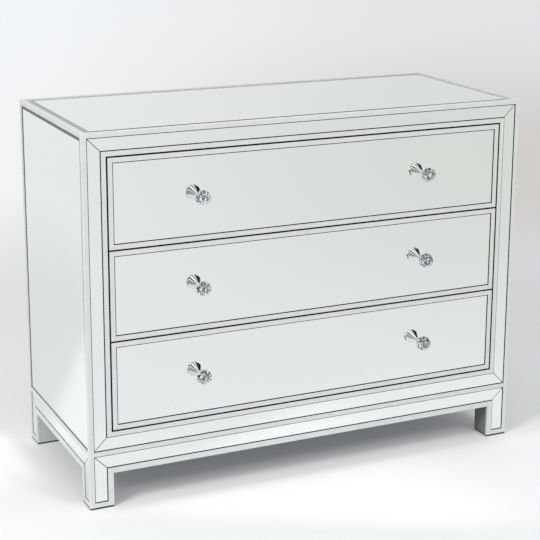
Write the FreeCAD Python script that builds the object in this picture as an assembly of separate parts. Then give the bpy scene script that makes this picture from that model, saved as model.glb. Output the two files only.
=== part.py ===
import FreeCAD, Part
import math
import os

# A straight chest of three equal drawers, faced with mirror glass between silvered wood trims.
#
# Millimetres. Every piece is drawn in case coordinates: X across and centred, Y back from the front
# plane, Z up from the bottom of the legs. save() moves it into the row's frame, whose origin is on the
# floor under the middle of the whole chest, knobs included.

Vector = FreeCAD.Vector

# Case
case_width = 1050.0
case_depth = 450.0
case_height = 815.0
foot_height = 4.0
foot_inset = 1.0

# Layout of the mirrored faces
trim_width = 10.5
arch_trim_width = 13.0
strip_width = 26.3
reveal = 1.8
mitre_gap = 1.0
arch_height = 73.3

# Glass and trims laid on the carcass
glass_thickness = 4.0
glass_recess = 1.8
arris_radius = 1.6
trim_easing = 0.5
top_bevel_width = 14.0
top_bevel_drop = 1.0
side_bevel_width = 6.5
side_bevel_drop = 0.8
plane_tolerance = 0.001

# Carcass boards
top_board_thickness = 18.0
side_board_thickness = 15.0
rail_thickness = 18.0
bottom_board_thickness = 12.0
bottom_board_drop = 4.0
back_thickness = 6.0
back_inset = 2.5
divider_thickness = 18.0
divider_depth = 60.0
batten_height = 44.0

# Drawers
drawer_count = 3
drawer_gap = 3.4
front_board_thickness = 15.0
box_wall = 12.0
box_bottom_thickness = 6.0
box_rise = 15.0
box_headroom = 40.0
divider_clearance = 1.0

# Telescopic slides, which come in lengths of whole steps
slide_length_step = 50.0
slide_height = 35.0
slide_thickness = 12.7
slide_wall = 1.2
slide_clearance = 0.45
slide_setback = 1.5
slide_end_clearance = 1.0

# Knobs. Angles are from the knob's axis, about the middle of the crystal.
knob_spacing = 543.6
knob_rise = 1.5
crystal_radius = 16.25
crystal_centre = 27.0
crystal_sides = 10
crystal_table_angle = 20.0
crystal_shoulder_angles = (50.0, 78.0)
crystal_edge_angle = 102.0
crystal_overhang = 0.15
crystal_seat = 0.15
cup_wall = 0.8
cup_depth = 10.0
cup_floor_radius = 6.5
neck_length = 3.0
neck_radius = 4.5
base_radius = 5.5
base_thickness = 2.0
base_chamfer = 0.6
knob_thread_depth = 8.8

# Fasteners
knob_screw_radius = 2.0
knob_screw_end_gap = 0.5
knob_screw_head_radius = 4.0
knob_screw_head_height = 2.4
knob_screw_slot = 0.9
screw_hole_clearance = 0.25
thread_clearance = 0.04
glass_hole_clearance = 1.0
back_screw_radius = 1.75
back_screw_length = 18.0
back_screw_head_radius = 3.5
back_screw_head_height = 1.8
back_screw_count = 5
back_screw_end = 60.0

# Depths behind the face planes
skin = glass_recess + glass_thickness
front_back_face = skin + front_board_thickness
back_face = case_depth - back_inset
rear_rail_back = back_face - back_thickness
rear_rail_front = rear_rail_back - rail_thickness

# Widths of the borders round the drawers and round the arch
strip_band = reveal + strip_width + reveal
frame_band = trim_width + strip_band + trim_width
leg_width = trim_width + strip_band + arch_trim_width
half_width = case_width / 2
half_depth = case_depth / 2
opening_half_width = half_width - frame_band
leg_inner = half_width - leg_width

# Levels above the bottom of the legs
base_strip_low = arch_height + arch_trim_width + reveal
base_strip_high = base_strip_low + strip_width
middle_trim_low = base_strip_high + reveal
middle_trim_high = middle_trim_low + trim_width
frame_strip_low = middle_trim_high + reveal
opening_trim_low = frame_strip_low + strip_width + reveal
opening_low = opening_trim_low + trim_width
frame_strip_high = case_height - trim_width - reveal
opening_high = case_height - frame_band
carcass_top = case_height - skin
top_board_low = carcass_top - top_board_thickness
bottom_board_high = opening_low - bottom_board_drop
bottom_board_low = bottom_board_high - bottom_board_thickness

# Drawers
front_half_width = opening_half_width - drawer_gap
front_height = (opening_high - opening_low - (drawer_count + 1) * drawer_gap) / drawer_count
drawer_pitch = front_height + drawer_gap
slide_front = front_back_face + slide_setback
slide_room = rear_rail_front - slide_end_clearance - slide_front
slide_length = slide_length_step * math.floor(slide_room / slide_length_step)
box_half_width = opening_half_width - slide_thickness
box_rear = front_back_face + slide_length
box_top = front_height - box_headroom
slide_rise = (box_rise + box_top) / 2
batten_thickness = frame_band - skin - side_board_thickness


def crystal_ring(angle):
    """(radius, y) of a ring of facet corners, for the ring's angle from the knob's axis."""
    turn = math.radians(angle)
    return crystal_radius * math.sin(turn), -crystal_centre - crystal_radius * math.cos(turn)


# Knobs. The crystal's widest back ring overhangs the rim of the cup that its tail sits in.
crystal_edge_radius, crystal_edge_y = crystal_ring(crystal_edge_angle)
cup_rim_radius = crystal_edge_radius - crystal_overhang
cup_rim_y = crystal_edge_y + 4 * crystal_seat
cup_floor_y = cup_rim_y + cup_depth
neck_y = glass_recess - neck_length
thread_end_y = glass_recess - knob_thread_depth

frame_shift = Vector(0, (-crystal_ring(crystal_table_angle)[1] - case_depth) / 2, foot_height)


def block(x_low, x_high, y_low, y_high, z_low, z_high):
    size = (x_high - x_low, y_high - y_low, z_high - z_low)
    return Part.makeBox(*size, Vector(x_low, y_low, z_low))


def plate(outline, y_low, y_high):
    """A flat plate with its outline, a list of (x, z), in the front plane."""
    corners = [Vector(x, y_low, z) for x, z in outline]
    face = Part.Face(Part.makePolygon(corners + corners[:1]))
    return face.extrude(Vector(0, y_high - y_low, 0))


def rod(radius, y_low, y_high, x=0.0, z=0.0):
    return Part.makeCylinder(radius, y_high - y_low, Vector(x, y_low, z), Vector(0, 1, 0))


def mirrored(solid):
    """The same piece on the other side of the chest."""
    return solid.mirror(Vector(0, 0, 0), Vector(1, 0, 0))


def pair(solid):
    return [solid, mirrored(solid)]


def raised(solids, height):
    return [solid.translated(Vector(0, 0, height)) for solid in solids]


def on_left_side(solids):
    """Pieces drawn on a face as wide as the case is deep, carried round to the left side."""
    turn = FreeCAD.Placement(Vector(-half_width, half_depth, 0), FreeCAD.Rotation(Vector(0, 0, 1), -90))
    return [solid.transformed(turn.toMatrix()) for solid in solids]


def save(node, solids):
    """Write the node's solids to its STEP file, in the row's frame."""
    placed = [solid.translated(frame_shift) for solid in solids]
    shape = placed[0] if len(placed) == 1 else Part.makeCompound(placed)
    shape.exportStep("parts/" + node + ".step")


def front_level(index):
    """Height of the lower edge of a drawer front, with index 0 the lowest drawer."""
    return opening_low + drawer_gap + index * drawer_pitch


def slide_level(index):
    return front_level(index) + slide_rise


# Trims and glass, drawn on a face in the front plane. A trim stands from the face plane to the carcass.


def eased(solid):
    """Round over the edges of a trim that lie in the face plane."""
    outer = [edge for edge in solid.Edges if all(abs(v.Y) < plane_tolerance for v in edge.Vertexes)]
    return solid.makeFillet(trim_easing, outer)


def trim(x_low, x_high, z_low, z_high):
    return eased(block(x_low, x_high, 0, skin, z_low, z_high))


def glass(outline):
    return plate(outline, glass_recess, skin)


def bevelled_pane(x_low, x_high, z_low, z_high, width, drop):
    """A pane whose outer face falls away by drop over the last width of every edge."""
    def outline(inset, y):
        corners = [
            Vector(x_low + inset, y, z_low + inset),
            Vector(x_high - inset, y, z_low + inset),
            Vector(x_high - inset, y, z_high - inset),
            Vector(x_low + inset, y, z_high - inset),
        ]
        return Part.makePolygon(corners + corners[:1])
    bevel_foot = glass_recess + drop
    bevel = Part.makeLoft([outline(width, glass_recess), outline(0, bevel_foot)], True, True)
    body = block(x_low, x_high, bevel_foot, skin, z_low, z_high)
    return body.fuse(bevel).removeSplitter().Solids[0]


def mitred_cross_strip(half_span, outer, inner):
    """A strip across the face, its long edge at the level outer and its ends cut at 45 degrees."""
    long_end = half_span - mitre_gap
    short_end = long_end - strip_width
    return glass([(-long_end, outer), (long_end, outer), (short_end, inner), (-short_end, inner)])


def mitred_upright(half_span, low, high, mitred_foot):
    """The left upright strip, cut at 45 degrees at its top and, if asked, at its foot."""
    outer = -half_span
    inner = outer + strip_width
    rise = strip_width if mitred_foot else 0.0
    gap = mitre_gap if mitred_foot else 0.0
    return glass([
        (outer, low + gap),
        (inner, low + gap + rise),
        (inner, high - strip_width - mitre_gap),
        (outer, high - mitre_gap),
    ])


def frame_strips():
    """Four mitred strips round the drawers."""
    half_span = half_width - trim_width - reveal
    top = mitred_cross_strip(half_span, frame_strip_high, frame_strip_high - strip_width)
    bottom = mitred_cross_strip(half_span, frame_strip_low, frame_strip_low + strip_width)
    upright = mitred_upright(half_span, frame_strip_low, frame_strip_high, True)
    return [top, bottom] + pair(upright)


def base_strips(half_face):
    """Three mitred strips on a face of the base: across the apron and down each leg."""
    half_span = half_face - trim_width - reveal
    apron = mitred_cross_strip(half_span, base_strip_high, base_strip_low)
    upright = mitred_upright(half_span, trim_width + reveal, base_strip_high, False)
    return [apron] + pair(upright)


def base_trims(half_face):
    """Trims on a face of the base: the line over the apron, the arch and the leg bottoms."""
    inside_corner = half_face - trim_width
    arch_outer = half_face - leg_width + arch_trim_width
    arch_inner = half_face - leg_width
    arch_top = arch_height + arch_trim_width
    line = trim(-inside_corner, inside_corner, middle_trim_low, middle_trim_high)
    arch = trim(-arch_inner, arch_inner, arch_height, arch_top)
    upright = trim(-arch_outer, -arch_inner, 0, arch_top)
    leg_bottom = trim(-inside_corner, -arch_outer, 0, trim_width)
    return [line, arch] + pair(upright) + pair(leg_bottom)


def opening_trims():
    """Trims round the drawer opening. The uprights run past the cross trims."""
    upright_outer = opening_half_width + trim_width
    upright = trim(-upright_outer, -opening_half_width, opening_trim_low, opening_high + trim_width)
    top = trim(-opening_half_width, opening_half_width, opening_high, opening_high + trim_width)
    bottom = trim(-opening_half_width, opening_half_width, opening_trim_low, opening_low)
    return [top, bottom] + pair(upright)


def outer_planes(edge):
    """How many of the planes of the left side, the front and the top an edge lies in."""
    ends = edge.Vertexes
    in_side = all(abs(v.X + half_width) < plane_tolerance for v in ends)
    in_front = all(abs(v.Y) < plane_tolerance for v in ends)
    in_top = all(abs(v.Z - case_height) < plane_tolerance for v in ends)
    return in_side + in_front + in_top


def with_round_arris(bar):
    return bar.makeFillet(arris_radius, [edge for edge in bar.Edges if outer_planes(edge) == 2])


def front_corner_trim():
    """The left front corner edge: an angle over the full height, closed over at the top."""
    bar = block(-half_width, -half_width + trim_width, 0, trim_width, 0, case_height)
    rebate = block(-half_width + skin, -half_width + trim_width, skin, trim_width, 0, carcass_top)
    return with_round_arris(bar).cut(rebate)


def rear_corner_trim():
    """The left rear corner edge, on the side face only."""
    return block(-half_width, -half_width + skin, case_depth - trim_width, case_depth, 0, case_height)


def top_edge_trim(half_length):
    """The edge of the top along the front: an angle over the edge of the top board."""
    bar = block(-half_length, half_length, 0, trim_width, case_height - trim_width, case_height)
    rebate = block(-half_length, half_length, skin, trim_width, case_height - trim_width, carcass_top)
    return with_round_arris(bar).cut(rebate)


def top_trims():
    front = top_edge_trim(half_width - trim_width)
    side = on_left_side([top_edge_trim(half_depth - trim_width)])[0]
    rear_low = case_depth - trim_width
    rear = block(-half_width + skin, half_width - skin, rear_low, case_depth, carcass_top, case_height)
    return [front, rear] + pair(side)


def top_mirror():
    inset = trim_width + reveal
    half_span = half_width - inset
    pane = bevelled_pane(-half_span, half_span, inset, case_depth - inset, top_bevel_width, top_bevel_drop)
    pane.rotate(Vector(0, 0, 0), Vector(1, 0, 0), -90)
    return pane.translated(Vector(0, 0, case_height))


def side_mirror():
    half_span = half_depth - trim_width - reveal
    size = (-half_span, half_span, frame_strip_low, frame_strip_high)
    return on_left_side([bevelled_pane(*size, side_bevel_width, side_bevel_drop)])[0]


# Carcass


def post(y_low, y_high):
    """The left post and leg, set back beside the drawers so that their slides pass its inner face."""
    outer = -half_width + skin
    inner = -half_width + leg_width
    body = block(outer, inner, y_low, y_high, 0, top_board_low)
    drawer_side = block(-opening_half_width, inner, y_low, y_high, opening_low, opening_high)
    return body.cut(drawer_side)


def front_post():
    return post(skin, leg_width)


def rear_post():
    return post(case_depth - leg_width, case_depth)


def side_panel():
    outer = -half_width + skin
    inner = outer + side_board_thickness
    return block(outer, inner, leg_width, case_depth - leg_width, arch_height, top_board_low)


def top_board():
    across = half_width - skin
    return block(-across, across, skin, case_depth, top_board_low, carcass_top)


def bottom_board():
    across = half_width - skin - side_board_thickness
    levels = (bottom_board_low, bottom_board_high)
    board = block(-across, across, skin + rail_thickness, rear_rail_front, *levels)
    return board.cut(Part.makeCompound(pair(front_post()) + pair(rear_post())))


def front_rail(z_low, z_high):
    return block(-leg_inner, leg_inner, skin, skin + rail_thickness, z_low, z_high)


def rear_rail(z_low, z_high):
    rail = block(-leg_inner, leg_inner, rear_rail_front, rear_rail_back, z_low, z_high)
    return rail.cut(Part.makeCompound(back_screw_holes()))


def back_panel():
    panel = block(-leg_inner, leg_inner, rear_rail_back, back_face, arch_height, top_board_low)
    return panel.cut(Part.makeCompound(back_screw_holes()))


def drawer_dividers():
    """Rails behind the gaps between the drawers, set back behind the drawer fronts."""
    y_low = front_back_face + divider_clearance
    dividers = []
    for index in range(1, drawer_count):
        level = opening_low + index * drawer_pitch + drawer_gap / 2
        z_low = level - divider_thickness / 2
        size = (-opening_half_width, opening_half_width, y_low, y_low + divider_depth)
        dividers.append(block(*size, z_low, z_low + divider_thickness))
    return dividers


def slide_battens():
    """Battens between the posts that bring the side panels level with the posts' inner faces."""
    inner = -opening_half_width
    battens = []
    for index in range(drawer_count):
        z_low = slide_level(index) - batten_height / 2
        size = (inner - batten_thickness, inner, leg_width, case_depth - leg_width)
        battens += pair(block(*size, z_low, z_low + batten_height))
    return battens


def foot_pads():
    outer = -half_width + foot_inset
    inner = -half_width + leg_width - foot_inset
    front = block(outer, inner, foot_inset, leg_width - foot_inset, -foot_height, 0)
    rear_low = case_depth - leg_width + foot_inset
    rear = block(outer, inner, rear_low, case_depth - foot_inset, -foot_height, 0)
    return pair(front) + pair(rear)


def back_screw_places():
    """(x, z) of the screws along the middles of the two rear rails."""
    first = -leg_inner + back_screw_end
    step = -2 * first / (back_screw_count - 1)
    levels = ((arch_height + opening_low) / 2, (opening_high + top_board_low) / 2)
    return [(first + index * step, level) for level in levels for index in range(back_screw_count)]


def back_screw_holes():
    hole_floor = back_face - back_screw_length - thread_clearance
    radius = back_screw_radius + thread_clearance
    return [rod(radius, hole_floor, back_face, x, z) for x, z in back_screw_places()]


def back_screws():
    screws = []
    for x, z in back_screw_places():
        shank = rod(back_screw_radius, back_face - back_screw_length, back_face, x, z)
        head = rod(back_screw_head_radius, back_face, back_face + back_screw_head_height, x, z)
        screws.append(shank.fuse(head).removeSplitter().Solids[0])
    return screws


# Slides


def channel(height, x_web, x_lips, x_web_inside):
    """One channel-section slide member: a web, and two flanges reaching to x_lips."""
    x_low = min(x_web, x_lips)
    x_high = max(x_web, x_lips)
    half = height / 2
    rear = slide_front + slide_length
    body = block(x_low, x_high, slide_front, rear, -half, half)
    hollow_low = min(x_web_inside, x_lips)
    hollow_high = max(x_web_inside, x_lips)
    hollow_half = half - slide_wall
    return body.cut(block(hollow_low, hollow_high, slide_front, rear, -hollow_half, hollow_half))


def outer_member():
    """The member on the case, open towards the drawer."""
    web = -opening_half_width
    lips = web + slide_thickness - slide_wall - 2 * slide_clearance
    return channel(slide_height, web, lips, web + slide_wall)


def middle_member():
    web = -opening_half_width + slide_wall + slide_clearance
    lips = -box_half_width - slide_wall - slide_clearance
    height = slide_height - 2 * (slide_wall + slide_clearance)
    return channel(height, web, lips, web + slide_wall)


def inner_member():
    """The member on the drawer box, open towards the case."""
    web = -box_half_width
    lips = -opening_half_width + 2 * (slide_wall + slide_clearance)
    height = slide_height - 4 * (slide_wall + slide_clearance)
    return channel(height, web, lips, web - slide_wall)


# Drawers, drawn with the lower edge of the front at Z = 0


def knob_axis_places():
    """(x, z) of the knobs, a little above the middle of the drawer front."""
    return [(side * knob_spacing / 2, front_height / 2 + knob_rise) for side in (-1, 1)]


def drilled(solid, radius, y_low, y_high):
    """The piece with a hole on each knob axis."""
    holes = [rod(radius, y_low, y_high, x, z) for x, z in knob_axis_places()]
    return solid.cut(Part.makeCompound(holes))


def drawer_front_board():
    board = block(-front_half_width, front_half_width, skin, front_back_face, 0, front_height)
    return drilled(board, knob_screw_radius + screw_hole_clearance, skin, front_back_face)


def drawer_mirror():
    across = front_half_width - trim_width - reveal
    low = trim_width + reveal
    high = front_height - low
    pane = glass([(-across, low), (across, low), (across, high), (-across, high)])
    return drilled(pane, knob_screw_radius + glass_hole_clearance, glass_recess, skin)


def drawer_trims():
    inner = front_half_width - trim_width
    upright = trim(-front_half_width, -inner, 0, front_height)
    bottom = trim(-inner, inner, 0, trim_width)
    top = trim(-inner, inner, front_height - trim_width, front_height)
    return [top, bottom] + pair(upright)


def box_walls():
    """Two sides and the back between them. The front board closes the box."""
    inner = box_half_width - box_wall
    levels = (box_rise + box_bottom_thickness, box_top)
    side = block(-box_half_width, -inner, front_back_face, box_rear, *levels)
    back = block(-inner, inner, box_rear - box_wall, box_rear, *levels)
    return pair(side) + [back]


def box_bottom():
    levels = (box_rise, box_rise + box_bottom_thickness)
    return block(-box_half_width, box_half_width, front_back_face, box_rear, *levels)


# Knobs, drawn with the knob axis along Y through the origin


def knob_mount():
    """A turned base, short neck and conical cup, bored for its screw."""
    base_face = glass_recess - base_thickness
    profile = [
        (0, glass_recess),
        (base_radius, glass_recess),
        (base_radius, base_face + base_chamfer),
        (base_radius - base_chamfer, base_face),
        (neck_radius, base_face),
        (neck_radius, neck_y),
        (cup_rim_radius, cup_rim_y),
        (cup_rim_radius - cup_wall, cup_rim_y),
        (cup_floor_radius, cup_floor_y),
        (0, cup_floor_y),
    ]
    corners = [Vector(radius, y, 0) for radius, y in profile]
    section = Part.Face(Part.makePolygon(corners + corners[:1]))
    body = section.revolve(Vector(0, 0, 0), Vector(0, 1, 0), 360)
    thread = rod(knob_screw_radius + thread_clearance, thread_end_y, glass_recess)
    return body.cut(thread)


def crystal_rings():
    """(radius, y) of the facet corners, from the table at the front to the tail in the cup."""
    angles = (crystal_table_angle,) + crystal_shoulder_angles + (crystal_edge_angle,)
    rings = [crystal_ring(angle) for angle in angles]
    rings.append((cup_rim_radius - cup_wall - crystal_seat, cup_rim_y - 2 * crystal_seat))
    rings.append((cup_floor_radius - crystal_seat, cup_floor_y - crystal_seat))
    return rings


def knob_crystal():
    """A faceted ball with a conical tail. Each ring is turned half a facet from the one before it."""
    step = 2 * math.pi / crystal_sides
    loops = []
    for number, (radius, y) in enumerate(crystal_rings()):
        start = number * step / 2
        angles = [start + index * step for index in range(crystal_sides)]
        loops.append([Vector(radius * math.cos(a), y, radius * math.sin(a)) for a in angles])
    polygons = [loops[0], loops[-1]]
    for front, behind in zip(loops, loops[1:]):
        for index in range(crystal_sides):
            following = (index + 1) % crystal_sides
            polygons.append([front[index], front[following], behind[index]])
            polygons.append([front[following], behind[index], behind[following]])
    facets = [Part.Face(Part.makePolygon(corners + corners[:1])) for corners in polygons]
    solid = Part.Solid(Part.makeShell(facets))
    if solid.Volume < 0:
        solid.reverse()
    return solid


def knob_screw():
    """A slotted machine screw from inside the drawer into the knob's mount."""
    shank = rod(knob_screw_radius, thread_end_y + knob_screw_end_gap, front_back_face)
    head_back = front_back_face + knob_screw_head_height
    head = rod(knob_screw_head_radius, front_back_face, head_back)
    half_slot = knob_screw_slot / 2
    slot_floor = head_back - knob_screw_head_height / 2
    reach = knob_screw_head_radius
    slot = block(-reach, reach, slot_floor, head_back, -half_slot, half_slot)
    return shank.fuse(head.cut(slot)).removeSplitter().Solids[0]


def at_knobs(solid):
    return [solid.translated(Vector(x, 0, z)) for x, z in knob_axis_places()]


def save_case():
    save("top_board", [top_board()])
    save("bottom_board", [bottom_board()])
    save("back_panel", [back_panel()])
    save("back_panel_screws", back_screws())
    save("front_top_rail", [front_rail(opening_high, top_board_low)])
    save("front_apron_rail", [front_rail(arch_height, opening_low)])
    save("rear_top_rail", [rear_rail(opening_high, top_board_low)])
    save("rear_bottom_rail", [rear_rail(arch_height, opening_low)])
    save("drawer_dividers", drawer_dividers())
    save("slide_battens", slide_battens())
    save("foot_pads", foot_pads())
    save("top_mirror", [top_mirror()])
    save("front_frame_mirrors", frame_strips())
    save("front_base_mirrors", base_strips(half_width))
    save("top_trims", top_trims())
    save("corner_trims", pair(front_corner_trim()) + pair(rear_corner_trim()))
    save("front_trims", opening_trims() + base_trims(half_width))
    sided = {
        "front_post": [front_post()],
        "rear_post": [rear_post()],
        "side_panel": [side_panel()],
        "side_mirror": [side_mirror()],
        "side_base_mirrors": on_left_side(base_strips(half_depth)),
        "side_trims": on_left_side(base_trims(half_depth)),
    }
    for name, solids in sided.items():
        save("left_" + name, solids)
        save("right_" + name, [mirrored(solid) for solid in solids])
    outer_members = []
    for index in range(drawer_count):
        outer_members += raised(pair(outer_member()), slide_level(index))
    save("slide_case_members", outer_members)


def save_drawers():
    """Drawer 1 is the top one."""
    box_pieces = {
        "front_board": [drawer_front_board()],
        "mirror": [drawer_mirror()],
        "trims": drawer_trims(),
        "box_walls": box_walls(),
        "box_bottom": [box_bottom()],
        "knob_mounts": at_knobs(knob_mount()),
        "knob_crystals": at_knobs(knob_crystal()),
        "knob_screws": at_knobs(knob_screw()),
    }
    for number in range(1, drawer_count + 1):
        index = drawer_count - number
        for name, solids in box_pieces.items():
            save("drawer_%d_%s" % (number, name), raised(solids, front_level(index)))
        level = slide_level(index)
        save("drawer_%d_slide_members" % number, raised(pair(inner_member()), level))
        save("slide_%d_middle_members" % number, raised(pair(middle_member()), level))


os.makedirs("parts", exist_ok=True)
save_case()
save_drawers()
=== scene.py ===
import math

import bpy
from mathutils import Matrix, Vector


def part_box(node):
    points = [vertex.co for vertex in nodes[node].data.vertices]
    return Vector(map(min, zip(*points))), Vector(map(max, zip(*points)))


# A straight chest of three mirrored drawers: mirror panes between silver-leafed trims, bevelled on
# the top and sides, cut crystal knobs on chrome mounts, birch drawer boxes on steel slides.

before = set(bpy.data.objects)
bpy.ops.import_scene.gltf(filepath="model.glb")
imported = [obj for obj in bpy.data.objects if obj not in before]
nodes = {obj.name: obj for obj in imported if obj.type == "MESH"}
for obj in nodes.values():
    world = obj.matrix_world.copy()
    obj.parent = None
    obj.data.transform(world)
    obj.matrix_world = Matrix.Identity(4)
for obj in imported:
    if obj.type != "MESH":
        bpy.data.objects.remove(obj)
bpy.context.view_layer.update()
print("frame loaded:", len(nodes), "nodes")

# Planes of the case that everything else is measured from, in metres
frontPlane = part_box("front_trims")[0].y
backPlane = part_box("corner_trims")[1].y
middlePlane = (frontPlane + backPlane) / 2
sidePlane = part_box("corner_trims")[1].x
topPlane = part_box("top_trims")[1].z
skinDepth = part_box("front_trims")[1].y - frontPlane   # trims and glass together
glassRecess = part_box("front_frame_mirrors")[0].y - frontPlane
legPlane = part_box("front_apron_rail")[1].x            # inner faces of the legs, from x = 0
sideLegPlane = legPlane - sidePlane + (backPlane - frontPlane) / 2   # and from middlePlane
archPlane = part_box("front_apron_rail")[0].z
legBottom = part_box("corner_trims")[0].z


class Shade:
    # One shader value. Sums and products of it add Math nodes.
    def __init__(self, tree, socket):
        self.tree = tree
        self.socket = socket

    def node(self, kind, settings=None, inputs=None, output=0):
        made = self.tree.nodes.new(kind)
        for name, value in (settings or {}).items():
            if name == "stops":
                self.fillRamp(made.color_ramp, value)
            else:
                setattr(made, name, value)
        for key, value in (inputs or {}).items():
            if isinstance(value, Shade):
                self.tree.links.new(value.socket, made.inputs[key])
            else:
                made.inputs[key].default_value = value
        return Shade(self.tree, made.outputs[output] if made.outputs else None)

    def fillRamp(self, ramp, stops):
        while len(ramp.elements) < len(stops):
            ramp.elements.new(1.0)
        for element, (place, colour) in zip(ramp.elements, stops):
            element.position = place
            element.color = (*colour, 1.0)

    def math(self, operation, *values):
        return self.node("ShaderNodeMath", {"operation": operation}, dict(enumerate(values)))

    def __add__(self, other):
        return self.math("ADD", self, other)

    def __radd__(self, other):
        return self.math("ADD", other, self)

    def __sub__(self, other):
        return self.math("SUBTRACT", self, other)

    def __rsub__(self, other):
        return self.math("SUBTRACT", other, self)

    def __mul__(self, other):
        return self.math("MULTIPLY", self, other)

    def __rmul__(self, other):
        return self.math("MULTIPLY", other, self)

    def least(self, other):
        return self.math("MINIMUM", self, other)

    def most(self, other):
        return self.math("MAXIMUM", self, other)

    def size(self):
        return self.math("ABSOLUTE", self)

    def root(self):
        return self.math("SQRT", self)

    def step(self, low, high):
        # 0 below low, 1 above high, smooth between them
        return self.node(
            "ShaderNodeMapRange",
            {"interpolation_type": "SMOOTHSTEP"},
            {"Value": self, "From Min": low, "From Max": high},
        )

    def between(self, start, end):
        # 1 from start to end, each a soft edge given by the two ends of its step
        return self.step(*start) * (1 - self.step(*end))

    def mix(self, first, second):
        # first where this value is 0, second where it is 1. Sockets 6, 7 and 2 hold the colours.
        return self.node(
            "ShaderNodeMix",
            {"data_type": "RGBA"},
            {0: self, 6: colour4(first), 7: colour4(second)},
            2,
        )


def colour4(value):
    return value if isinstance(value, Shade) else (*value, 1.0)


def toned(colour, factor):
    return [value * factor for value in colour]


def newMaterial(name):
    made = bpy.data.materials.new(name)
    made.use_nodes = True
    made.node_tree.nodes.clear()
    return made, Shade(made.node_tree, None)


def place(shade):
    # x, y and z of the point in the row frame
    point = shade.node("ShaderNodeTexCoord", output="Object")
    return [shade.node("ShaderNodeSeparateXYZ", {}, {0: point}, axis) for axis in range(3)]


def stretched(shade, scale):
    point = shade.node("ShaderNodeTexCoord", output="Object")
    return shade.node("ShaderNodeMapping", {}, {0: point, "Scale": scale})


def noise(shade, scale, detail, vector=None):
    inputs = {"Vector": vector or stretched(shade, (1, 1, 1)), "Scale": scale, "Detail": detail}
    return shade.node("ShaderNodeTexNoise", {}, inputs)


def bump(shade, height, strength, distance):
    inputs = {"Height": height, "Strength": strength, "Distance": distance}
    return shade.node("ShaderNodeBump", {}, inputs)


def finishMaterial(shade, sockets):
    surface = shade.node("ShaderNodeBsdfPrincipled", {}, sockets)
    shade.node("ShaderNodeOutputMaterial", {}, {"Surface": surface})


def planeDepths(shade):
    # how far the point lies inside the side, the front or back, and the top of the case
    x, y, z = place(shade)
    return sidePlane - x.size(), (y - frontPlane).least(backPlane - y), topPlane - z


def caseDepth(shade):
    # how far the point lies inside the nearest outer plane of the case
    side, across, top = planeDepths(shade)
    return side.least(across).least(top)


def awayFromArris(shade):
    # 0 on the rounded outer edges, which lie close to two of the planes, and 1 elsewhere
    side, across, top = planeDepths(shade)
    secondDepth = side.least(across).most(side.most(across).least(top))
    return secondDepth.step(leafLook["arris"], leafLook["arris"] + leafLook["soft"])


def cornerDepth(shade):
    # the rear corner trims keep their silver down to just above the glass
    rear = place(shade)[1].step(*leafLook["rearStart"])
    return caseDepth(shade) - rear * glassRecess


def frontDepth(shade):
    return place(shade)[1] - frontPlane


def facedDepth(shade):
    # how far the point lies inside the side, the front and the top, which trims and glass cover
    x, y, z = place(shade)
    return (sidePlane - x.size()).least(y - frontPlane).least(topPlane - z)


def outsideArch(shade):
    # how far the point lies outside the arches of the base, or above the ends of the legs
    x, y, z = place(shade)
    rise = z - archPlane
    front = (x.size() - legPlane).most(rise)
    side = ((y - middlePlane).size() - sideLegPlane).most(rise)
    return front.least(side).least(z - legBottom)


# In the settings of a material, a noise is its scale and detail, and a bump its strength and its
# depth in metres.
mirrorLook = {
    "tint": (0.895, 0.925, 0.91),
    "wipe": (3.0, 2.0),             # faint marks of wiping
    "wipeTone": 0.99,
    "wipeRoughness": 0.006,
    "roughness": 0.012,
    "specular": 0.1,
    "edge": (0.03, 0.05, 0.045),    # green edge of the glass
    "edgeStart": 0.0002,            # below the pane's face
    "edgeSoft": 0.0004,
    "edgeRoughness": 0.5,
    "topBevel": 0.001,              # how far the bevel of the top pane falls
    "sideBevel": 0.0008,            # and that of the side panes
}


def mirrorMaterial(name, depthOf, bevelDrop):
    made, shade = newMaterial(name)
    look = mirrorLook
    edgeStart = glassRecess + bevelDrop + look["edgeStart"]
    edge = depthOf(shade).step(edgeStart, edgeStart + look["edgeSoft"])
    wipe = noise(shade, *look["wipe"])
    tint = wipe.mix(toned(look["tint"], look["wipeTone"]), look["tint"])
    roughness = edge * look["edgeRoughness"] + look["roughness"]
    finishMaterial(shade, {
        "Base Color": edge.mix(tint, look["edge"]),
        "Metallic": 1 - edge,
        "Roughness": roughness + wipe * look["wipeRoughness"],
        "Specular IOR Level": look["specular"],
    })
    return made


leafLook = {
    "silver": (0.79, 0.81, 0.795),
    "shaded": (0.75, 0.77, 0.765),
    "warm": (0.78, 0.775, 0.755),
    "mottle": (38.0, 5.0),          # between silver and shaded
    "mottleStep": (0.35, 0.68),
    "patches": (9.0, 2.0),          # of the warm colour
    "patchStep": (0.52, 0.72),
    "patchShare": 0.35,
    "grain": (900.0, 2.0),
    "grainShare": 0.4,
    "bump": (0.18, 0.0004),
    "roughness": 0.36,
    "mottleRoughness": 0.16,
    "metallic": 0.4,
    "specular": 0.15,
    "under": (0.02, 0.02, 0.022),   # painted shade on the sides of the trims, in the gaps round the glass
    "underRoughness": 0.4,
    "lip": 0.0001,                  # from the face to where the painted shade starts
    "soft": 0.0002,                 # its soft edge
    "archStep": (0.0002, 0.0004),   # closer than this to an arch or a leg's end all is silver
    "arris": 0.0016,                # the rounded outer edges of the case
    "rearStart": (0.0, 0.01),       # y between the front and rear corner trims
    "topMargin": 0.0003,            # the top trims are silver this far below the pane's rim
}


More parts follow.
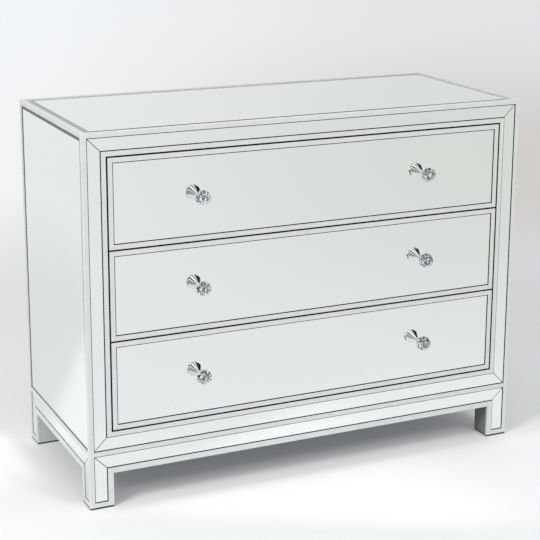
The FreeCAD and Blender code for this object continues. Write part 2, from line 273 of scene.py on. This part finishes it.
def leafMaterial(name, depthOf, lip):
    # silver leaf on the faces and round the arches, painted shade where a trim turns into its
    # rebate
    made, shade = newMaterial(name)
    look = leafLook
    # painted shade: the sides of the trims past the lip turn dark, as the gaps do in shade
    under = depthOf(shade).step(lip, lip + look["soft"])
    under = under * outsideArch(shade).step(*look["archStep"])
    under = under * awayFromArris(shade)
    mottle = noise(shade, *look["mottle"])
    patches = noise(shade, *look["patches"])
    grain = noise(shade, *look["grain"])
    leaf = mottle.step(*look["mottleStep"]).mix(look["shaded"], look["silver"])
    leaf = (patches.step(*look["patchStep"]) * look["patchShare"]).mix(leaf, look["warm"])
    roughness = look["roughness"] + mottle * look["mottleRoughness"]
    finishMaterial(shade, {
        "Base Color": under.mix(leaf, look["under"]),
        "Metallic": (1 - under) * look["metallic"],
        "Roughness": roughness + under * look["underRoughness"],
        "Specular IOR Level": look["specular"],
        "Normal": bump(shade, grain * look["grainShare"] + mottle, *look["bump"]),
    })
    return made


paintLook = {
    "silver": (0.66, 0.68, 0.69),
    # painted shade: the front posts get a darker grey than the rear posts' silver, for the shade
    # their inner faces lie in
    "frontPostShade": (0.22, 0.23, 0.24),
    "board": (0.1, 0.1, 0.105),
    "brush": (60.0, 4.0),
    "brushScale": (1, 1, 0.06),     # its marks run up and down
    "tones": (0.93, 1.05),
    "roughness": 0.42,
    "brushRoughness": 0.2,
    "specular": 0.2,
    "bump": (0.15, 0.0003),
    "dark": (0.015, 0.015, 0.017),  # painted shade on the floors of the rebates, seen through the gaps
    "rebateShadeStep": (0.0001, 0.0003),   # its soft edge, past the depth of trims and glass
    "rebateShadeRoughness": 0.3,
}


def paintMaterial(name, colour):
    # satin paint, with painted shade on the floors of the rebates that hold trims and glass
    made, shade = newMaterial(name)
    look = paintLook
    darkStart, darkEnd = [skinDepth + edge for edge in look["rebateShadeStep"]]
    # painted shade: the floors of the rebates, just past the trims and glass, turn dark
    rebate = 1 - facedDepth(shade).step(darkStart, darkEnd)
    brushed = noise(shade, *look["brush"], stretched(shade, look["brushScale"]))
    darkTone, lightTone = [toned(colour, factor) for factor in look["tones"]]
    roughness = look["roughness"] + brushed * look["brushRoughness"]
    finishMaterial(shade, {
        "Base Color": rebate.mix(brushed.mix(darkTone, lightTone), look["dark"]),
        "Roughness": roughness + rebate * look["rebateShadeRoughness"],
        "Specular IOR Level": look["specular"],
        "Normal": bump(shade, brushed, *look["bump"]),
    })
    return made


# The scale of a wood is small along its grain
woods = {
    "birch": {"light": (0.72, 0.56, 0.38), "dark": (0.56, 0.40, 0.24), "scale": (1, 0.07, 1)},
    "backPly": {"light": (0.27, 0.255, 0.235), "dark": (0.17, 0.155, 0.14), "scale": (1, 1, 0.05)},
}
grainLook = {
    "bands": (14.0, 4.0),
    "bandShare": 0.75,
    "fibres": (160.0, 3.0),
    "fibreShare": 0.25,
    "toneStep": (0.36, 0.66),
    "roughness": 0.48,
    "fibreRoughness": 0.14,
    "bump": (0.2, 0.0003),
}


def woodMaterial(name):
    made, shade = newMaterial(name)
    wood = woods[name]
    look = grainLook
    vector = stretched(shade, wood["scale"])
    bands = noise(shade, *look["bands"], vector)
    fibres = noise(shade, *look["fibres"], vector)
    tone = (bands * look["bandShare"] + fibres * look["fibreShare"]).step(*look["toneStep"])
    finishMaterial(shade, {
        "Base Color": tone.mix(wood["dark"], wood["light"]),
        "Roughness": look["roughness"] + fibres * look["fibreRoughness"],
        "Normal": bump(shade, fibres, *look["bump"]),
    })
    return made


crystalLook = {
    "cloud": (120.0, 2.0),
    "cool": (0.97, 0.985, 0.99),
    "clear": (1.0, 1.0, 1.0),
    "cloudRoughness": 0.01,
    "ior": 1.5,
}


def crystalMaterial():
    made, shade = newMaterial("cutCrystal")
    look = crystalLook
    cloud = noise(shade, *look["cloud"])
    finishMaterial(shade, {
        "Base Color": cloud.mix(look["cool"], look["clear"]),
        "Roughness": cloud * look["cloudRoughness"],
        "IOR": look["ior"],
        "Transmission Weight": 1.0,
    })
    return made


chromeLook = {
    "wipe": (400.0, 2.0),
    "dull": (0.74, 0.76, 0.78),
    "bright": (0.80, 0.815, 0.83),
    "roughness": 0.03,
    "wipeRoughness": 0.03,
}


def chromeMaterial():
    made, shade = newMaterial("polishedChrome")
    look = chromeLook
    wipe = noise(shade, *look["wipe"])
    finishMaterial(shade, {
        "Base Color": wipe.mix(look["dull"], look["bright"]),
        "Metallic": 1.0,
        "Roughness": look["roughness"] + wipe * look["wipeRoughness"],
    })
    return made


steelLook = {
    "rolled": (220.0, 3.0),
    "rolledScale": (1, 0.03, 1),    # rolled along the slides
    "rolledShare": 0.5,
    "spangle": (55.0, 2.0),
    "spangleShare": 0.5,
    "dull": (0.46, 0.47, 0.48),
    "bright": (0.68, 0.69, 0.70),
    "roughness": 0.26,
    "rolledRoughness": 0.18,
    "bump": (0.12, 0.0002),
}


def steelMaterial():
    made, shade = newMaterial("zincedSteel")
    look = steelLook
    rolled = noise(shade, *look["rolled"], stretched(shade, look["rolledScale"]))
    spangle = noise(shade, *look["spangle"])
    tone = rolled * look["rolledShare"] + spangle * look["spangleShare"]
    finishMaterial(shade, {
        "Base Color": tone.mix(look["dull"], look["bright"]),
        "Metallic": 1.0,
        "Roughness": look["roughness"] + rolled * look["rolledRoughness"],
        "Normal": bump(shade, rolled, *look["bump"]),
    })
    return made


feltLook = {
    "fibres": (2200.0, 4.0),
    "fibreShare": 0.6,
    "tufts": (420.0, 2.0),
    "tuftShare": 0.4,
    "dark": (0.022, 0.014, 0.013),
    "light": (0.10, 0.065, 0.06),
    "roughness": 0.95,
    "bump": (0.6, 0.0006),
}


def feltMaterial():
    made, shade = newMaterial("brownFelt")
    look = feltLook
    fibres = noise(shade, *look["fibres"])
    tufts = noise(shade, *look["tufts"])
    tone = fibres * look["fibreShare"] + tufts * look["tuftShare"]
    finishMaterial(shade, {
        "Base Color": tone.mix(look["dark"], look["light"]),
        "Roughness": look["roughness"],
        "Normal": bump(shade, fibres, *look["bump"]),
    })
    return made


# Depths at which the painted shade on the sides of the trims starts
faceLip = leafLook["lip"]
deepLip = faceLip + glassRecess
topLip = glassRecess + mirrorLook["topBevel"] + leafLook["topMargin"]
materials = {
    "mirror": mirrorMaterial("mirrorGlass", caseDepth, 0.0),
    "bevelTop": mirrorMaterial("mirrorGlassTop", caseDepth, mirrorLook["topBevel"]),
    "bevelSide": mirrorMaterial("mirrorGlassSide", caseDepth, mirrorLook["sideBevel"]),
    "drawerMirror": mirrorMaterial("mirrorGlassDrawer", frontDepth, 0.0),
    "leaf": leafMaterial("silverLeaf", caseDepth, faceLip),
    "topLeaf": leafMaterial("silverLeafTop", caseDepth, topLip),
    "deepLeaf": leafMaterial("silverLeafDeep", caseDepth, deepLip),
    "drawerLeaf": leafMaterial("silverLeafDrawer", frontDepth, faceLip),
    "cornerLeaf": leafMaterial("silverLeafCorner", cornerDepth, faceLip),
    "rearPost": paintMaterial("silverPaint", paintLook["silver"]),
    # the front posts' darker grey is painted shade
    "frontPostShade": paintMaterial("frontPostShadePaint", paintLook["frontPostShade"]),
    "board": paintMaterial("darkPaint", paintLook["board"]),
    "drawerWood": woodMaterial("birch"),
    "back": woodMaterial("backPly"),
    "crystal": crystalMaterial(),
    "chrome": chromeMaterial(),
    "steel": steelMaterial(),
    "felt": feltMaterial(),
}
print("materials made:", len(materials))

# Part of a node's name, and the material of the nodes that have it. The first match counts.
finishes = [
    ("top_mirror", "bevelTop"),
    ("side_mirror", "bevelSide"),
    ("_mirrors", "mirror"),
    ("_mirror", "drawerMirror"),
    ("drawer_1_trims", "drawerLeaf"),
    ("drawer_2_trims", "drawerLeaf"),
    ("drawer_3_trims", "drawerLeaf"),
    ("top_trims", "topLeaf"),
    ("side_trims", "deepLeaf"),
    ("corner_trims", "cornerLeaf"),
    ("_trims", "leaf"),
    ("rear_post", "rearPost"),
    ("front_post", "frontPostShade"),
    ("crystals", "crystal"),
    ("mounts", "chrome"),
    ("screws", "steel"),
    ("members", "steel"),
    ("foot_pads", "felt"),
    ("back_panel", "back"),
    ("box_", "drawerWood"),
    ("", "board"),
]


def paintNodes():
    for name, node in nodes.items():
        key = next(finish for part, finish in finishes if part in name)
        node.data.materials.clear()
        node.data.materials.append(materials[key])


paintNodes()
print("nodes finished")


# Stage: a pale floor that fades into a pale world
def rays(shade, kind):
    return shade.node("ShaderNodeLightPath", output="Is " + kind + " Ray")


def seenRays(shade):
    # 1 for what shows straight on, in a reflection or through glass, 0 for what only lights
    return rays(shade, "Camera").most(rays(shade, "Glossy")).most(rays(shade, "Transmission"))


floorLook = {
    "size": 14.0,
    "colour": (0.80, 0.805, 0.805),
    "glow": (0.105, 0.112, 0.121),      # lifts the floor, shadow and all, for what sees it
    "paintedShine": (0.275, 0.28, 0.285),      # painted light: the same, brighter where the mirrors throw light on the floor
    "fade": (1.2, 3.0),                 # distance over which the floor ends
    "leftFade": (0.85, 1.3),            # it ends sooner on the left
    "mirrorFade": (0.38, 0.8),          # and in front of the chest, as its mirrors see it
    "aheadStart": (0.0, 0.05),          # painted light thrown forward by the front, in metres from it
    "aheadEnd": (0.3, 0.6),
    "aheadSlant": 1.8,                  # its left edge moves this far right for each metre
    "aheadLeft": (-0.15, 0.15),
    "aheadRight": (0.1, 0.4),           # x over which it weakens,
    "aheadLoss": 0.6,                   # by this share
    "besideStart": (0.025, 0.075),      # painted light thrown by the left side, in metres from it
    "besideSlant": 0.49,
    "besideEdge": (-0.01, 0.07),
    "besideFront": (-0.08, 0.12),       # y of its front end
    "besideShare": 0.95,
}


def floorEnd(shade, x, y):
    # 1 where the floor has ended
    fade = (x * x + y * y).root().step(*floorLook["fade"])
    fade = fade.most((0 - x).step(*floorLook["leftFade"]))
    inMirrors = (0 - y).step(*floorLook["mirrorFade"]) * (1 - rays(shade, "Camera"))
    return fade.most(inMirrors)


def paintedLightAhead(x, y):
    # painted light: a pool thrown forward by the mirrored front
    look = floorLook
    ahead = frontPlane - y
    leftEdge = x + sidePlane - ahead * look["aheadSlant"]
    paintedShine = ahead.between(look["aheadStart"], look["aheadEnd"]) * leftEdge.step(*look["aheadLeft"])
    return paintedShine * (1 - x.step(*look["aheadRight"]) * look["aheadLoss"])


def paintedLightBeside(x, y):
    # painted light: a pool thrown by the mirrored left side over the floor to its left
    look = floorLook
    beside = 0 - x - sidePlane
    slant = beside - (y - backPlane) * look["besideSlant"]
    paintedShine = beside.step(*look["besideStart"]) * slant.step(*look["besideEdge"])
    return paintedShine * y.step(*look["besideFront"]) * look["besideShare"]


def makeFloor():
    bpy.ops.object.select_all(action="DESELECT")
    bpy.ops.mesh.primitive_plane_add(size=floorLook["size"], location=(0, 0, 0))
    floor = bpy.context.object
    floor.name = "studioFloor"
    made, shade = newMaterial("studioFloor")
    x, y = place(shade)[:2]
    solid = shade.node("ShaderNodeBsdfDiffuse", {}, {"Color": colour4(floorLook["colour"])})
    # painted light: the pools that the mirrors throw on the floor, added to the glow
    thrown = paintedLightAhead(x, y).most(paintedLightBeside(x, y))
    glow = thrown.mix(floorLook["glow"], floorLook["paintedShine"])
    glow = seenRays(shade).mix((0, 0, 0), glow)
    glowing = shade.node("ShaderNodeEmission", {}, {"Color": glow})
    lit = shade.node("ShaderNodeAddShader", {}, {0: solid, 1: glowing})
    clear = shade.node("ShaderNodeBsdfTransparent")
    ends = {0: floorEnd(shade, x, y), 1: lit, 2: clear}
    surface = shade.node("ShaderNodeMixShader", {}, ends)
    shade.node("ShaderNodeOutputMaterial", {}, {"Surface": surface})
    floor.data.materials.append(made)


# The room lies in directions from -1 to 1: x to the right, y to the back and z up
roomLook = {
    "backdropLeft": (0.90, 0.91, 0.93),     # backdrop, as the camera sees it
    "backdropRight": (0.635, 0.615, 0.595),
    "backdropTop": (0.90, 0.93, 0.96),
    "topStep": (-0.20, -0.11),
    "topShare": 0.5,
    "pale": (0.87, 0.875, 0.895),           # backdrop, as the mirrors see it
    "paleRight": (0.745, 0.76, 0.735),
    "paleStep": (-0.38, -0.20),             # z over which its right half darkens
    "rightStep": (0.22, 0.56),              # x over which both backdrops turn to the right colour
    "behindStep": (0.0, 0.1),               # y from which a direction is behind the chest
    "overhead": (1.0, 1.0, 1.0),
    "overheadStep": (0.40, 0.50),
    "ambient": (0.62, 0.62, 0.62),          # what lights the chest
}

# Dark beam between the backdrop and the overhead light
beamLook = {
    "left": (0.10, 0.16),
    "right": (0.58, 0.64),
    "upper": (0.31, 0.34),                  # kept low, for the top pane shows what is above it
    "bands": (                              # z where each colour starts
        ((0.190, 0.202), (0.47, 0.475, 0.48)),
        ((0.245, 0.27), (0.20, 0.21, 0.22)),
        ((0.275, 0.295), (0.04, 0.04, 0.042)),
    ),
}

# Two dark flags low on the left, with their ends given towards the left
flagLook = {
    "colour": (0.22, 0.225, 0.23),
    "upper": (0.06, 0.12),
    "wideStart": (0.03, 0.15),
    "wideEnd": (0.5, 0.56),
    "wideLower": (-0.15, -0.125),
    "narrowStart": (0.40, 0.43),
    "narrowEnd": (0.53, 0.57),
}

# The front of the room as the crystals show it: dark, with soft panels side by side
panelLook = {
    "colours": (                            # x and colour
        (-0.87, (0.42, 0.45, 0.41)),
        (-0.82, (1.5, 1.5, 1.5)),
        (-0.70, (0.10, 0.11, 0.10)),
        (-0.50, (0.10, 0.11, 0.10)),
        (-0.45, (1.5, 1.5, 1.5)),
        (-0.12, (1.5, 1.5, 1.5)),
        (-0.08, (0.03, 0.03, 0.03)),
        (0.10, (0.03, 0.03, 0.03)),
        (0.14, (1.5, 1.5, 1.5)),
        (0.30, (1.5, 1.5, 1.5)),
        (0.35, (0.10, 0.19, 0.24)),
        (0.62, (0.10, 0.19, 0.24)),
        (0.68, (0.015, 0.015, 0.015)),
        (0.76, (0.015, 0.015, 0.015)),
        (0.79, (0.09, 0.02, 0.03)),
        (0.84, (0.03, 0.02, 0.02)),
    ),
    "depthStep": (2.2, 2.6),                # what a mirror shows has depth 2, a crystal 3 or more
    "back": 0.2,                            # y where the panels end
    "backSoft": 0.1,                        # and how soft that edge is
    "lower": (-0.08, 0.0),
    "leftStep": (0.6, 0.7),                 # on the far left they go on down
}


def backdropColour(x, z):
    right = x.step(*roomLook["rightStep"])
    backdrop = right.mix(roomLook["backdropLeft"], roomLook["backdropRight"])
    upper = z.step(*roomLook["topStep"]) * roomLook["topShare"]
    return upper.mix(backdrop, roomLook["backdropTop"])


def roomColour(x, y, z):
    right = x.step(*roomLook["rightStep"]) * z.step(*roomLook["paleStep"])
    room = right.mix(roomLook["pale"], roomLook["paleRight"])
    behind = y.step(*roomLook["behindStep"])
    beam = x.between(beamLook["left"], beamLook["right"]) * behind
    beam = beam * (1 - z.step(*beamLook["upper"]))
    for start, colour in beamLook["bands"]:
        room = (z.step(*start) * beam).mix(room, colour)
    left = 0 - x
    low = 1 - z.step(*flagLook["upper"])
    wide = left.between(flagLook["wideStart"], flagLook["wideEnd"]) * z.step(*flagLook["wideLower"])
    narrow = left.between(flagLook["narrowStart"], flagLook["narrowEnd"]) * behind
    for flag in (wide, narrow):
        room = (flag * low).mix(room, flagLook["colour"])
    return z.step(*roomLook["overheadStep"]).mix(room, roomLook["overhead"])


def throughCrystals(shade, x, y, z):
    # 1 for the directions in which the crystals show the panels
    depth = shade.node("ShaderNodeLightPath", output="Ray Depth").step(*panelLook["depthStep"])
    front = (panelLook["back"] - y).step(0.0, panelLook["backSoft"])
    return depth * front * z.step(*panelLook["lower"]).most((0 - x).step(*panelLook["leftStep"]))


def panelColour(shade, x):
    stops = [((edge + 1) / 2, colour) for edge, colour in panelLook["colours"]]
    return shade.node("ShaderNodeValToRGB", {"stops": stops}, {0: (x + 1) * 0.5})


def makeWorld():
    world = bpy.data.worlds.new("studioWorld")
    bpy.context.scene.world = world
    world.use_nodes = True
    world.node_tree.nodes.clear()
    shade = Shade(world.node_tree, None)
    direction = shade.node("ShaderNodeTexCoord", output="Generated")
    x, y, z = [shade.node("ShaderNodeSeparateXYZ", {}, {0: direction}, axis) for axis in range(3)]
    room = throughCrystals(shade, x, y, z).mix(roomColour(x, y, z), panelColour(shade, x))
    seen = rays(shade, "Camera").mix(room, backdropColour(x, z))
    colour = seenRays(shade).mix(roomLook["ambient"], seen)
    background = shade.node("ShaderNodeBackground", {}, {"Color": colour, "Strength": 1.0})
    shade.node("ShaderNodeOutputWorld", {}, {"Surface": background})


lamps = {
    "left": {"at": (-3.0, -1.5, 2.6), "size": 1.1, "watts": 76.0},
    "right": {"at": (1.0, -2.9, 2.6), "size": 0.7, "watts": 23.0},
}
lampTarget = Vector((0, 0, 0.35))


def makeLamps():
    for name, lamp in lamps.items():
        bpy.ops.object.light_add(type="AREA", location=lamp["at"])
        light = bpy.context.object
        light.name = name + "Lamp"
        light.data.size = lamp["size"]
        light.data.energy = lamp["watts"]
        light.rotation_euler = (lampTarget - light.location).to_track_quat("-Z", "Y").to_euler()
        light.visible_glossy = False
        light.visible_transmission = False


view = {
    "at": (-1.4241, -2.8275, 1.3886),   # y from the front plane
    "turn": 24.994,     # degrees from straight back towards the right
    "tilt": 13.832,     # degrees down
    "roll": 0.267,
    "lens": 99.53,      # in millimetres, as is the sensor
    "sensor": 36.0,
    "shift": -0.1114,
}


def makeCamera():
    x, y, z = view["at"]
    bpy.ops.object.camera_add(location=(x, frontPlane + y, z))
    camera = bpy.context.object
    camera.data.lens = view["lens"]
    camera.data.sensor_width = view["sensor"]
    camera.data.shift_y = view["shift"]
    turn = Matrix.Rotation(math.radians(-view["turn"]), 4, "Z")
    tilt = Matrix.Rotation(math.radians(90 - view["tilt"]), 4, "X")
    roll = Matrix.Rotation(math.radians(view["roll"]), 4, "Z")
    camera.rotation_euler = (turn @ tilt @ roll).to_euler()
    bpy.context.scene.camera = camera


makeFloor()
makeWorld()
makeLamps()
makeCamera()
bpy.context.scene.view_settings.view_transform = "Standard"
print("stage, lamps and camera made")
